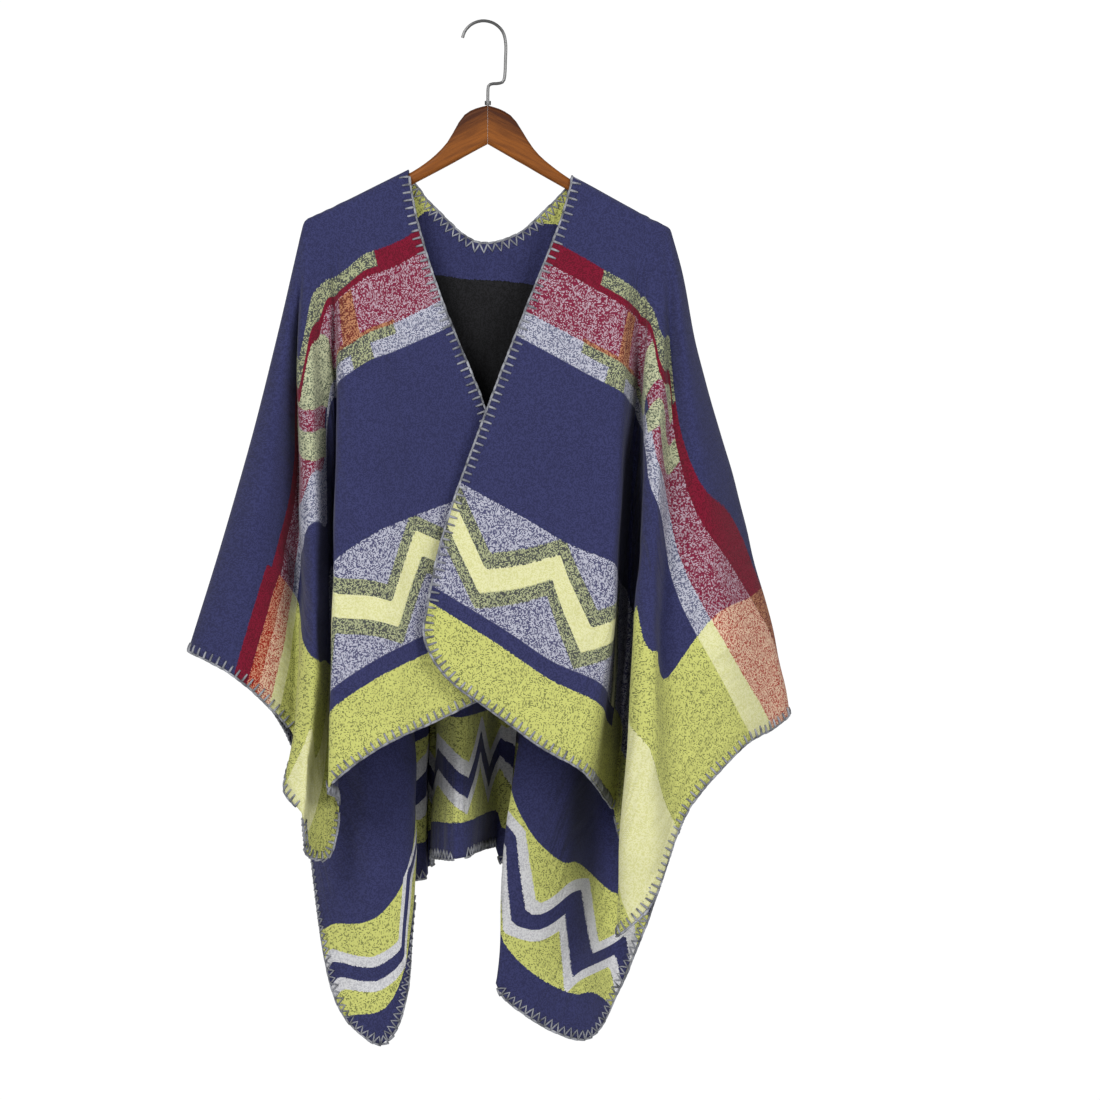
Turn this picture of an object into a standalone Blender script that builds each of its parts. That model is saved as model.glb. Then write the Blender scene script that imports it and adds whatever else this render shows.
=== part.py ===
"""Open-front ruana: one rectangular woven blanket cloth with a front opening and a scooped back
neck, folded over the arms of a plain wooden hanger with a steel hook. The cloth's folds are
given one row each, from the front edge on the right, round the back, to the front edge on the
left. Table values are in centimetres. Metres in the model, +Z up, front towards -Y."""

import math

import bpy
import numpy as np

for old in list(bpy.data.objects):
    bpy.data.objects.remove(old, do_unlink=True)

CM = 0.01
WALL = 0.0024  # cloth thickness
SEAM = 0.0003  # between pieces that meet
WRAP = 0.0086  # radius of the cloth's turn over a hanger arm
EYE = 400.0  # cm from which the fold positions were sighted
SIGHT = (6.7, -56.8)  # cm, the sighting line's x and z
HANG_POINT = (-0.48, -0.10)  # cm, x and z of the inside top of the hook: the origin
DOWN = (0.1, 0.25, 0.5, 0.75, 1.0)  # where along a fold its five sightings lie
CORNER = 4.0  # cm, rounding of the two front corners

# fold, start x y z, x at the five sightings, y at the five, z of its lower end
FOLDS = (
    ("edge_r", 9.1, 0.0, -16.7, 7.8, 4.7, -0.3, -4.8, -7.4, -1.3, -1.9, -2.9, -3.5, -3.7, -68.6),
    ("chest_r1", 11.0, 0.0, -17.7, 10.4, 8.7, 5.6, 2.9, 0.6, -1.4, -2.1, -3.0, -3.6, -3.8, -74.1),
    ("chest_r2", 12.8, 0.0, -18.7, 12.5, 11.7, 9.9, 7.7, 5.7, -1.5, -2.3, -3.2, -3.8, -4.0, -77.8),
    ("crest_r", 14.6, 0.0, -19.7, 14.5, 14.3, 13.7, 13.2, 10.3, -1.5, -2.4, -3.2, -3.6, -3.4, -80.5),
    ("wall_r", 15.7, 0.0, -20.3, 15.7, 15.3, 14.3, 13.7, 12.1, -1.2, -1.2, 1.5, 3.8, 4.4, -82.9),
    ("valley_r", 16.4, 0.0, -20.7, 16.4, 16.1, 15.4, 14.8, 13.9, -1.0, 1.0, 7.2, 11.2, 12.2, -85.6),
    ("corner_r", 17.1, 0.0, -21.0, 17.0, 16.9, 16.7, 16.1, 15.3, -1.0, 0.1, 3.0, 4.6, 3.8, -96.0),
    ("fold2_r", 17.5, 0.0, -21.3, 17.4, 17.1, 16.1, 15.0, 13.9, -1.3, -2.0, -3.5, -4.5, -4.2, -98.1),
    ("crest2_r", 18.0, 0.0, -21.5, 18.6, 18.5, 18.0, 17.6, 17.6, -1.6, -3.0, -5.0, -6.3, -5.8, -94.7),
    ("crease_r", 18.3, 0.0, -21.7, 19.5, 19.6, 19.7, 19.5, 21.4, -1.1, -0.6, -1.0, -2.6, -3.0, -84.9),
    ("panel3_r", 18.4, 0.0, -21.8, 20.1, 21.1, 22.9, 24.8, 27.3, -1.2, -2.0, -2.5, -2.0, -0.5, -78.0),
    ("panel4_r", 18.6, 0.0, -21.9, 20.6, 22.0, 25.2, 28.2, 31.0, -0.6, -0.6, 0.0, 1.5, 3.2, -75.8),
    ("ridge_r", 18.9, 0.0, -22.05, 20.9, 22.4, 26.0, 29.5, 32.5, 0.5, 1.5, 3.0, 5.0, 6.0, -74.4),
    ("back_r1", 18.6, 0.0, -21.9, 20.0, 21.5, 24.0, 26.0, 27.3, 1.4, 4.4, 9.8, 14.6, 17.0, -77.0),
    ("back_r2", 18.5, 0.0, -21.8, 19.5, 20.4, 21.9, 22.8, 22.5, 1.7, 4.3, 7.2, 9.0, 9.0, -82.0),
    ("back_r3", 18.3, 0.0, -21.7, 18.6, 18.9, 19.6, 19.9, 20.0, 2.0, 6.4, 13.0, 18.0, 20.0, -88.5),
    ("back_r4", 17.8, 0.0, -21.4, 17.6, 17.5, 16.9, 16.1, 17.4, 2.0, 5.8, 10.6, 14.0, 12.0, -95.8),
    ("hollow_r", 17.1, 0.0, -21.0, 16.9, 16.3, 14.7, 12.5, 14.4, 1.9, 6.0, 12.0, 16.5, 13.5, -103.2),
    ("drop_r1", 16.0, 0.0, -20.4, 15.5, 14.4, 11.8, 9.0, 10.8, 1.5, 3.5, 7.0, 9.8, 10.3, -109.2),
    ("drop_r2", 14.2, 0.0, -19.4, 13.4, 12.0, 9.2, 6.3, 5.1, 1.5, 3.2, 6.5, 8.8, 8.8, -107.3),
    ("drop_r3", 12.0, 0.0, -18.2, 11.3, 9.7, 6.3, 2.7, 0.9, 1.5, 3.5, 7.0, 9.6, 9.6, -102.8),
    ("tuck_r", 10.5, 0.0, -17.4, 10.5, 10.7, 10.4, 9.6, 10.0, 2.0, 4.6, 8.8, 12.2, 13.0, -98.6),
    ("neck_r", 9.1, 0.0, -16.7, 8.9, 8.2, 6.2, 3.9, 2.5, 1.6, 4.8, 10.5, 15.0, 15.5, -94.4),
    ("neck_r1", 9.1, 0.62, -16.9, 8.75, 8.0, 6.0, 3.7, 2.4, 1.7, 4.9, 10.7, 15.2, 15.8, -93.8),
    ("neck_r2", 9.0, 1.15, -17.5, 8.5, 7.7, 5.7, 3.4, 2.2, 1.8, 5.0, 10.9, 15.5, 16.1, -93.0),
    ("tuck_r2", 8.55, 1.35, -18.0, 8.3, 7.6, 8.4, 9.0, 9.2, 2.2, 6.2, 12.4, 16.9, 17.6, -91.8),
    ("neck_r3", 7.9, 1.5, -18.7, 7.4, 6.6, 4.6, 2.5, 1.6, 2.3, 6.2, 13.4, 18.2, 19.4, -90.5),
    ("hollow_b", 6.7, 2.0, -20.0, 6.2, 5.4, 3.4, 1.6, 0.9, 2.6, 6.0, 13.0, 18.4, 20.0, -88.5),
    ("centre_r", 3.0, 2.4, -23.1, 2.5, 1.7, 0.4, -0.7, -1.2, 2.9, 5.0, 8.2, 11.2, 12.0, -89.2),
    ("centre", -0.9, 2.5, -23.9, -1.2, -1.7, -2.4, -2.8, -3.4, 3.0, 4.6, 6.8, 8.2, 8.6, -90.0),
    ("centre_l", -6.0, 2.1, -19.9, -5.9, -5.7, -5.4, -5.1, -5.9, 2.6, 5.4, 9.6, 13.6, 14.2, -89.8),
    ("neck_l3", -7.5, 1.5, -18.0, -7.2, -6.9, -6.4, -6.0, -6.1, 2.4, 6.4, 13.6, 18.8, 20.2, -90.8),
    ("tuck_l2", -8.1, 1.35, -17.4, -8.0, -7.45, -9.6, -12.0, -13.2, 2.25, 6.0, 12.5, 17.4, 18.6, -91.2),
    ("neck_l2", -8.45, 1.2, -17.0, -8.1, -7.5, -6.7, -6.3, -6.4, 2.0, 5.2, 11.1, 16.0, 17.2, -91.6),
    ("neck_l1", -8.5, 0.7, -16.2, -8.2, -7.6, -6.8, -6.4, -6.5, 1.9, 5.0, 10.7, 15.6, 16.8, -91.8),
    ("neck_l", -8.5, 0.0, -15.95, -8.3, -7.7, -6.9, -6.6, -6.8, 1.8, 4.8, 10.3, 15.2, 16.4, -92.0),
    ("tuck_l", -9.8, 0.0, -16.6, -9.5, -9.9, -11.4, -13.2, -14.2, 1.75, 4.4, 9.3, 13.6, 14.6, -93.2),
    ("wall_l", -11.1, 0.0, -17.3, -10.5, -9.7, -8.6, -8.1, -8.0, 1.6, 3.9, 8.2, 11.8, 12.4, -94.9),
    ("drop_l1", -13.2, 0.0, -18.4, -12.6, -11.5, -10.0, -8.9, -8.5, 1.5, 3.5, 7.0, 9.6, 9.8, -103.5),
    ("drop_l2", -15.3, 0.0, -19.4, -14.8, -14.1, -13.1, -12.5, -11.3, 1.5, 3.4, 7.0, 9.2, 9.2, -109.8),
    ("drop_l3", -16.6, 0.0, -20.0, -16.3, -15.8, -15.0, -14.6, -15.4, 1.6, 4.0, 8.0, 10.4, 10.4, -106.7),
    ("drop_l4", -17.3, 0.0, -20.4, -17.7, -17.6, -17.2, -16.9, -18.0, 1.8, 5.0, 9.6, 12.2, 12.0, -100.5),
    ("back_l3", -18.0, 0.0, -20.7, -19.1, -19.9, -20.6, -21.2, -21.7, 2.0, 6.5, 13.0, 17.5, 18.5, -79.9),
    ("back_l2", -18.4, 0.0, -20.9, -19.9, -21.0, -22.4, -23.6, -24.7, 1.7, 4.4, 7.4, 8.8, 8.6, -71.8),
    ("back_l1", -18.8, 0.0, -21.1, -20.4, -21.8, -24.1, -26.2, -28.4, 1.4, 4.5, 9.6, 14.2, 16.8, -68.6),
    ("ridge_l", -19.0, 0.0, -21.3, -20.7, -22.3, -25.2, -28.5, -32.1, 0.5, 1.6, 3.4, 5.0, 6.0, -67.6),
    ("panel4_l", -18.9, 0.0, -21.2, -20.5, -21.6, -23.5, -25.6, -27.9, -0.2, 0.2, 0.8, 2.0, 3.2, -69.8),
    ("panel3_l", -18.8, 0.0, -21.1, -20.2, -21.1, -21.8, -22.7, -24.3, -0.6, 0.6, 2.2, 3.4, 4.2, -72.7),
    ("crease_l", -18.5, 0.0, -21.0, -19.9, -20.4, -20.2, -20.2, -20.6, -0.9, 2.0, 5.5, 7.0, 6.0, -77.4),
    ("fold2_l", -18.2, 0.0, -20.8, -19.5, -20.2, -19.7, -19.6, -21.8, -1.15, -0.3, 1.0, 1.5, 1.0, -82.6),
    ("crest2_l", -17.7, 0.0, -20.6, -18.9, -19.1, -18.7, -18.5, -19.8, -1.2, -1.2, -0.4, -0.2, -0.6, -85.6),
    ("corner_l", -17.2, 0.0, -20.3, -17.8, -18.0, -17.6, -17.8, -19.6, -1.0, 0.2, 2.2, 3.6, 3.4, -89.3),
    ("back2_l", -16.7, 0.0, -20.1, -17.1, -17.0, -16.9, -16.9, -17.2, -1.0, 0.8, 4.2, 5.8, 5.6, -89.9),
    ("valley_l", -16.0, 0.0, -19.7, -16.4, -16.4, -16.4, -16.2, -15.9, -0.9, 1.2, 5.0, 6.2, 6.0, -84.2),
    ("turn_l", -14.9, 0.0, -19.2, -15.2, -15.5, -16.4, -16.7, -17.0, -1.3, -1.8, -2.6, -3.0, -2.7, -82.3),
    ("chest_l3", -13.3, 0.0, -18.4, -13.3, -13.1, -12.5, -12.0, -11.8, -1.5, -2.3, -3.1, -3.4, -3.2, -78.0),
    ("chest_l2", -11.7, 0.0, -17.6, -11.4, -10.5, -8.6, -6.9, -5.5, -1.4, -1.9, -2.2, -2.2, -2.0, -75.0),
    ("chest_l1", -10.1, 0.0, -16.8, -9.5, -7.8, -4.1, -1.1, 1.3, -1.2, -1.5, -1.6, -1.5, -1.3, -71.8),
    ("edge_l", -8.5, 0.0, -16.0, -7.7, -5.2, 0.1, 3.7, 6.2, -1.1, -1.3, -1.3, -1.2, -1.0, -69.9),
)

# x from the middle, top z and bottom z of the left and the right hanger arm
ARM_LEFT = (
    (-0.0, -9.0, -13.2),
    (-1.3, -9.35, -13.9),
    (-2.4, -9.95, -14.5),
    (-3.2, -11.0, -14.95),
    (-4.2, -12.8, -15.5),
    (-5.9, -14.6, -16.4),
    (-8.2, -16.2, -17.6),
    (-12.5, -18.35, -19.8),
    (-16.5, -20.3, -21.6),
    (-17.9, -21.25, -22.1),
)
ARM_RIGHT = (
    (0.0, -9.0, -13.2),
    (1.4, -9.45, -14.0),
    (2.6, -10.2, -14.7),
    (3.3, -11.1, -15.1),
    (4.2, -12.6, -15.6),
    (5.2, -14.0, -16.2),
    (6.6, -15.3, -17.0),
    (8.9, -16.95, -18.3),
    (13.0, -19.2, -20.6),
    (16.4, -21.1, -22.3),
    (17.8, -21.95, -22.8),
)
ARM_HALF = 0.52  # cm, half of the arms' thickness
ARM_EDGE = 0.48  # cm, rounding of their edges

# x and z of the hook's centreline, from its tip to its foot
HOOK = (
    (-2.70, -1.75),
    (-2.45, -1.05),
    (-1.80, -0.35),
    (-0.95, 0.02),
    (-0.10, 0.05),
    (0.85, -0.30),
    (1.62, -1.10),
    (1.93, -2.30),
    (1.92, -4.00),
    (1.82, -6.00),
    (1.62, -6.50),
    (1.15, -6.66),
    (0.50, -6.70),
    (0.12, -6.86),
    (0.03, -7.40),
    (0.02, -8.95),
)
HOOK_RADIUS = 0.0017
FERRULE = (0.0020, 0.0034, -8.55, -8.97)  # bore radius, outer radius, top and bottom z in cm


def placed(x, y, z):
    """Centimetres sighted from the front to metres from the hanging point."""
    far = (np.asarray(y, float) + EYE) / EYE
    true_x = SIGHT[0] + (np.asarray(x, float) - SIGHT[0]) * far
    true_z = SIGHT[1] + (np.asarray(z, float) - SIGHT[1]) * far
    found = np.stack([true_x - HANG_POINT[0], np.broadcast_to(y, true_x.shape), true_z - HANG_POINT[1]])
    return np.moveaxis(found, 0, -1) * CM


def weights(knots, at):
    """Matrix that blends values at the knots into a smooth curve's values at each place."""
    knots = np.asarray(knots, float)
    at = np.clip(np.asarray(at, float), knots[0], knots[-1])
    i = np.clip(np.searchsorted(knots, at, side="right") - 1, 0, len(knots) - 2)
    step = knots[i + 1] - knots[i]
    t = (at - knots[i]) / step
    out = np.zeros((len(at), len(knots)))
    rows = np.arange(len(at))
    out[rows, i] += 2 * t**3 - 3 * t**2 + 1
    out[rows, i + 1] += 3 * t**2 - 2 * t**3
    for place, share in ((i, t**3 - 2 * t**2 + t), (i + 1, t**3 - t**2)):
        lower = np.maximum(place - 1, 0)
        upper = np.minimum(place + 1, len(knots) - 1)
        slope = share * step / (knots[upper] - knots[lower])
        np.add.at(out, (rows, upper), slope)
        np.add.at(out, (rows, lower), -slope)
    return out


def fold_points(row):
    """Nine points down one fold: four of its turn over the arm or its start at the neck, then five."""
    x0, y0, z0 = row[1:4]
    x = np.array(row[4:9])
    y = np.array(row[9:14])
    z = z0 + np.array(DOWN) * (row[14] - z0)
    start = placed(x0, y0, z0)
    below = placed(x, y, z)
    outward = min(max((abs(x0) - 16) / 2, 0), 1)  # the turn fans out round the arm's end
    away = (below[0] - start) * (outward, 1, 0)
    away /= np.linalg.norm(away)
    if y0 == 0:
        turn = [
            start + WRAP * (math.sin(a) * away - (1 - math.cos(a)) * np.array((0, 0, 1)))
            for a in (-math.pi / 4, 0, math.pi / 4, math.pi / 2)
        ]
    else:
        share = 0.12 * min(1, y0 / 2)
        turn = [start + f * share * (below[0] - start) for f in (-1, 0, 1, 2)]
    return np.vstack([turn, below])


POINTS = np.array([fold_points(row) for row in FOLDS])
NAMES = [row[0] for row in FOLDS]
ALONG = np.array((-0.012, 0.0, 0.012, 0.024) + DOWN)  # places of the nine points along a fold
GAPS = np.linalg.norm(np.diff(POINTS[:, 4:], axis=0), axis=2).mean(axis=1)
ACROSS = np.concatenate([[0], np.cumsum(GAPS)])  # places of the folds round the cloth


def cloth_point(s, t):
    """Points of the cloth's middle surface at places s round it and t down it."""
    folds = np.einsum("mj,kjc->mkc", weights(ALONG, t), POINTS)
    step = np.diff(ACROSS)[None, :, None]
    slopes = np.diff(folds, axis=1) / step
    left, right = slopes[:, :-1], slopes[:, 1:]
    inner = (left * step[:, :-1] + right * step[:, 1:]) / (step[:, :-1] + step[:, 1:])
    most = np.minimum(abs(left), abs(right)) * np.where(left * right > 0, 3, 1)
    tangents = np.concatenate([slopes[:, :1], np.clip(inner, -most, most), slopes[:, -1:]], axis=1)
    i = np.clip(np.searchsorted(ACROSS, s, side="right") - 1, 0, len(ACROSS) - 2)
    rows = np.arange(len(s))
    h = (ACROSS[i + 1] - ACROSS[i])[:, None]
    u = (s - ACROSS[i])[:, None] / h
    return (
        (2 * u**3 - 3 * u**2 + 1) * folds[rows, i]
        + (3 * u**2 - 2 * u**3) * folds[rows, i + 1]
        + (u**3 - 2 * u**2 + u) * h * tangents[rows, i]
        + (u**3 - u**2) * h * tangents[rows, i + 1]
    )


def rounded(s, t, edge, inward, length):
    """Moves places near a front corner so that the corner is rounded."""
    ds = np.clip(1 - (s - edge) * inward / (CORNER * CM), 0, 1)
    dt = np.clip(1 - (1 - t) * length / (CORNER * CM), 0, 1)
    size = np.hypot(ds, dt)
    shrink = np.where(size > 0, np.maximum(ds, dt) / np.maximum(size, 1e-9), 1)
    near = (ds > 0) & (dt > 0)
    s = np.where(near, edge + inward * (1 - ds * shrink) * CORNER * CM, s)
    t = np.where(near, 1 - (1 - dt * shrink) * CORNER * CM / length, t)
    return s, t


def seam_shift(at, down, share, side):
    """How far the places round the cloth move for a step of some SEAM widths off a ridge."""
    here = cloth_point(np.full(len(down), at), down)
    beside = cloth_point(np.full(len(down), at + side * 0.002), down)
    return share * SEAM * 0.002 / np.linalg.norm(beside - here, axis=1)


def material(name, colour, roughness, metallic=0.0):
    made = bpy.data.materials.new(name)
    made.use_nodes = True
    shader = made.node_tree.nodes["Principled BSDF"]
    shader.inputs["Base Color"].default_value = (*colour, 1)
    shader.inputs["Roughness"].default_value = roughness
    shader.inputs["Metallic"].default_value = metallic
    return made


def finished(name, points, faces, made_of):
    mesh = bpy.data.meshes.new(name)
    mesh.from_pydata([tuple(p) for p in points], [], faces)
    mesh.update()
    mesh.materials.append(made_of)
    made = bpy.data.objects.new(name, mesh)
    KIT.objects.link(made)
    return made


def cloth_piece(name, first, last, pitch, steps, made_of):
    """The stretch of cloth between two folds, as a sheet with thickness."""
    a, b = NAMES.index(first), NAMES.index(last)
    across = [ACROSS[a]]
    for k in range(a, b):
        shares = max(1, round((ACROSS[k + 1] - ACROSS[k]) / pitch))
        across += list(np.linspace(ACROSS[k], ACROSS[k + 1], shares + 1)[1:])
    if a:
        across.insert(1, ACROSS[a])
    if b < len(NAMES) - 1:
        across.insert(-1, ACROSS[b])
    count = len(across)
    top = SEAM * 1.2 / 0.55
    down = np.concatenate([[top, 0.003, 0.008, 0.013, 0.019, 0.026], np.linspace(0.05, 1, steps - 6)])
    s, t = np.meshgrid(across, down, indexing="ij")
    if a:
        room = across[3] - across[0]
        s[0] += np.minimum(seam_shift(ACROSS[a], down, 3, 1), room * 0.45)
        s[1] += np.minimum(seam_shift(ACROSS[a], down, 9, 1), room * 0.65)
        s[2] = np.maximum(s[2], s[1] + room * 0.2)
    if b < len(NAMES) - 1:
        room = across[-1] - across[-4]
        s[-1] -= np.minimum(seam_shift(ACROSS[b], down, 3, -1), room * 0.45)
        s[-2] -= np.minimum(seam_shift(ACROSS[b], down, 9, -1), room * 0.65)
        s[-3] = np.minimum(s[-3], s[-2] - room * 0.2)
    starts = np.interp(s[:, 0], ACROSS, [abs(row[1]) for row in FOLDS])
    fan = np.clip((starts - 17) / 1.5, 0, 1)  # a small round gap is left at the arm's very end
    for j in range(6):
        t[:, j] = np.maximum(t[:, j], top + 0.008 * fan + 0.002 * j)
    s, t = s.ravel(), t.ravel()
    if a == 0:
        s, t = rounded(s, t, ACROSS[0], 1, 0.54)
    if b == len(NAMES) - 1:
        s, t = rounded(s, t, ACROSS[-1], -1, 0.54)
    points = cloth_point(s, t)
    faces = [
        (i * steps + j, i * steps + j + 1, (i + 1) * steps + j + 1, (i + 1) * steps + j)
        for i in range(count - 1)
        for j in range(steps - 1)
    ]
    made = finished(name, points, faces, made_of)
    wall = made.modifiers.new("wall", "SOLIDIFY")
    wall.thickness = WALL
    wall.offset = 0
    wall.use_even_offset = False
    return made


def hanger_arm(name, table, side, made_of):
    """A wooden arm: rounded sections along x, closed at both ends."""
    ring = []
    for corner, (cy, cz) in enumerate(((1, 1), (-1, 1), (-1, -1), (1, -1))):
        for k in range(4):
            a = math.pi / 2 * (corner + k / 3)
            ring.append((cy, cz, math.cos(a), math.sin(a)))
    knots = [abs(row[0]) for row in table]
    at = np.linspace(0, knots[-1], 30)
    blend = weights(knots, at)
    tops = blend @ np.array([row[1] for row in table])
    lows = blend @ np.array([row[2] for row in table])
    points = []
    for x, top, low in zip(at, tops, lows):
        middle, half = (top + low) / 2, (top - low) / 2
        edge = min(ARM_EDGE, half * 0.95)
        for cy, cz, ca, sa in ring:
            y = cy * (ARM_HALF - ARM_EDGE) + ARM_EDGE * ca
            z = middle + cz * (half - edge) + edge * sa
            points.append(placed(side * x, y, z) + np.array((side * SEAM / 2, 0, 0)))
    n = len(ring)
    faces = []
    for i in range(len(at) - 1):
        for k in range(n):
            quad = (i * n + k, i * n + (k + 1) % n, (i + 1) * n + (k + 1) % n, (i + 1) * n + k)
            faces.append(quad[::side])
    faces.append(tuple(range(n))[:: -side])
    faces.append(tuple(range(len(points) - n, len(points)))[::side])
    return finished(name, points, faces, made_of)


def hook(made_of):
    """Bent steel wire: a curve with a round section and closed ends."""
    line = bpy.data.curves.new("hook", "CURVE")
    line.dimensions = "3D"
    line.bevel_depth = HOOK_RADIUS
    line.bevel_resolution = 3
    line.use_fill_caps = True
    lengths = np.hypot(*np.diff(np.array(HOOK), axis=0).T)
    places = np.concatenate([[0], np.cumsum(lengths)])
    smooth = weights(places, np.linspace(0, places[-1], 46)) @ np.array(HOOK)
    track = line.splines.new("POLY")
    track.points.add(len(smooth) - 1)
    for point, (x, z) in zip(track.points, smooth):
        point.co = (*placed(x, 0.0, z), 1)
    made = bpy.data.objects.new("hook", line)
    line.materials.append(made_of)
    KIT.objects.link(made)
    return made


def ferrule(made_of):
    """Small steel collar round the hook's foot."""
    bore, outer, top, bottom = FERRULE
    x = placed(0.02, 0.0, -8.8)[0]
    high, low = placed(0, 0.0, top)[2], placed(0, 0.0, bottom)[2]
    profile = ((bore, low), (outer, low), (outer, high), (bore, high))
    sides = 24
    points = []
    for k in range(sides):
        a = 2 * math.pi * k / sides
        points += [(x + r * math.cos(a), r * math.sin(a), z) for r, z in profile]
    faces = []
    for k in range(sides):
        here, after = 4 * k, 4 * ((k + 1) % sides)
        faces += [(here + j, after + j, after + (j + 1) % 4, here + (j + 1) % 4) for j in range(4)]
    return finished("ferrule", points, faces, made_of)


KIT = bpy.data.collections.new("ruana")
bpy.context.scene.collection.children.link(KIT)

CLOTH = material("woven_cloth", (0.045, 0.05, 0.15), 0.9)
WOOD = material("stained_wood", (0.22, 0.07, 0.02), 0.4)
STEEL = material("hook_steel", (0.6, 0.6, 0.62), 0.3, 1.0)

cloth_piece("front_right", "edge_r", "ridge_r", 0.016, 24, CLOTH)
cloth_piece("back", "ridge_r", "ridge_l", 0.020, 24, CLOTH)
cloth_piece("front_left", "ridge_l", "edge_l", 0.016, 24, CLOTH)
hanger_arm("arm_left", ARM_LEFT, -1, WOOD)
hanger_arm("arm_right", ARM_RIGHT, 1, WOOD)
ferrule(STEEL)
hook(STEEL)
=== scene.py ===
"""Looks of a ruana, an open-front blanket wrap, on a wooden hanger.

Metres, +Z up, front towards -Y; the hanger's hook hangs from a rail at the origin.
"""
import math

import bpy
import numpy as np
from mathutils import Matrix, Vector


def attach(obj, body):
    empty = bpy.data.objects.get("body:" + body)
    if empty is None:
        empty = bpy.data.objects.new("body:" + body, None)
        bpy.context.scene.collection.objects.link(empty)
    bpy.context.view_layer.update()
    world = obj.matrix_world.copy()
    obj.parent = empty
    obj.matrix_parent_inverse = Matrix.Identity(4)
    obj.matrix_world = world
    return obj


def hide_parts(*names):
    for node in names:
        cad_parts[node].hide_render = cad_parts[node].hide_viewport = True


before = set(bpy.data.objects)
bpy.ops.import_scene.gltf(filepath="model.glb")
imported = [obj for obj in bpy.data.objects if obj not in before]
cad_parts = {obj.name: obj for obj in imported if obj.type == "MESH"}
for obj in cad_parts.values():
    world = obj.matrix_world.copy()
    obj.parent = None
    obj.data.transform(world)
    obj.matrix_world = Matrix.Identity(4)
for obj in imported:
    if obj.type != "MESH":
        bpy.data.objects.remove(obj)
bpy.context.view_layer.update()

# ---------------------------------------------------------------------------------------------
# The cloth: one double-faced woven blanket panel, 150 by 130 cm, acrylic, folded over the hanger's
# arms. The front slit and the scooped back neck are cut in, and nothing holds it but its weight.
# Each fold has a row: where it starts on the shoulder line, five places down it, and its lower end.
# ---------------------------------------------------------------------------------------------
CM = 0.01
PANEL = 1.50  # width of the flat panel, which is also the span of its UV map
CLOTH_WALL = 0.0020  # thickness of the cloth
WRAP = 0.0086  # radius of the cloth's turn over a hanger arm
EYE = 400.0  # cm from which the fold places were sighted
SIGHT = (6.7, -56.8)  # cm, the sighting line's x and z
HANG_POINT = (-0.48, -0.10)  # cm, x and z of the inside top of the hook
TURN = (-0.012, 0.0, 0.012, 0.024)  # shares of a fold's length at the four points of its turn
DOWN = (0.1, 0.25, 0.5, 0.75, 1.0)  # and at its five places further down

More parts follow.
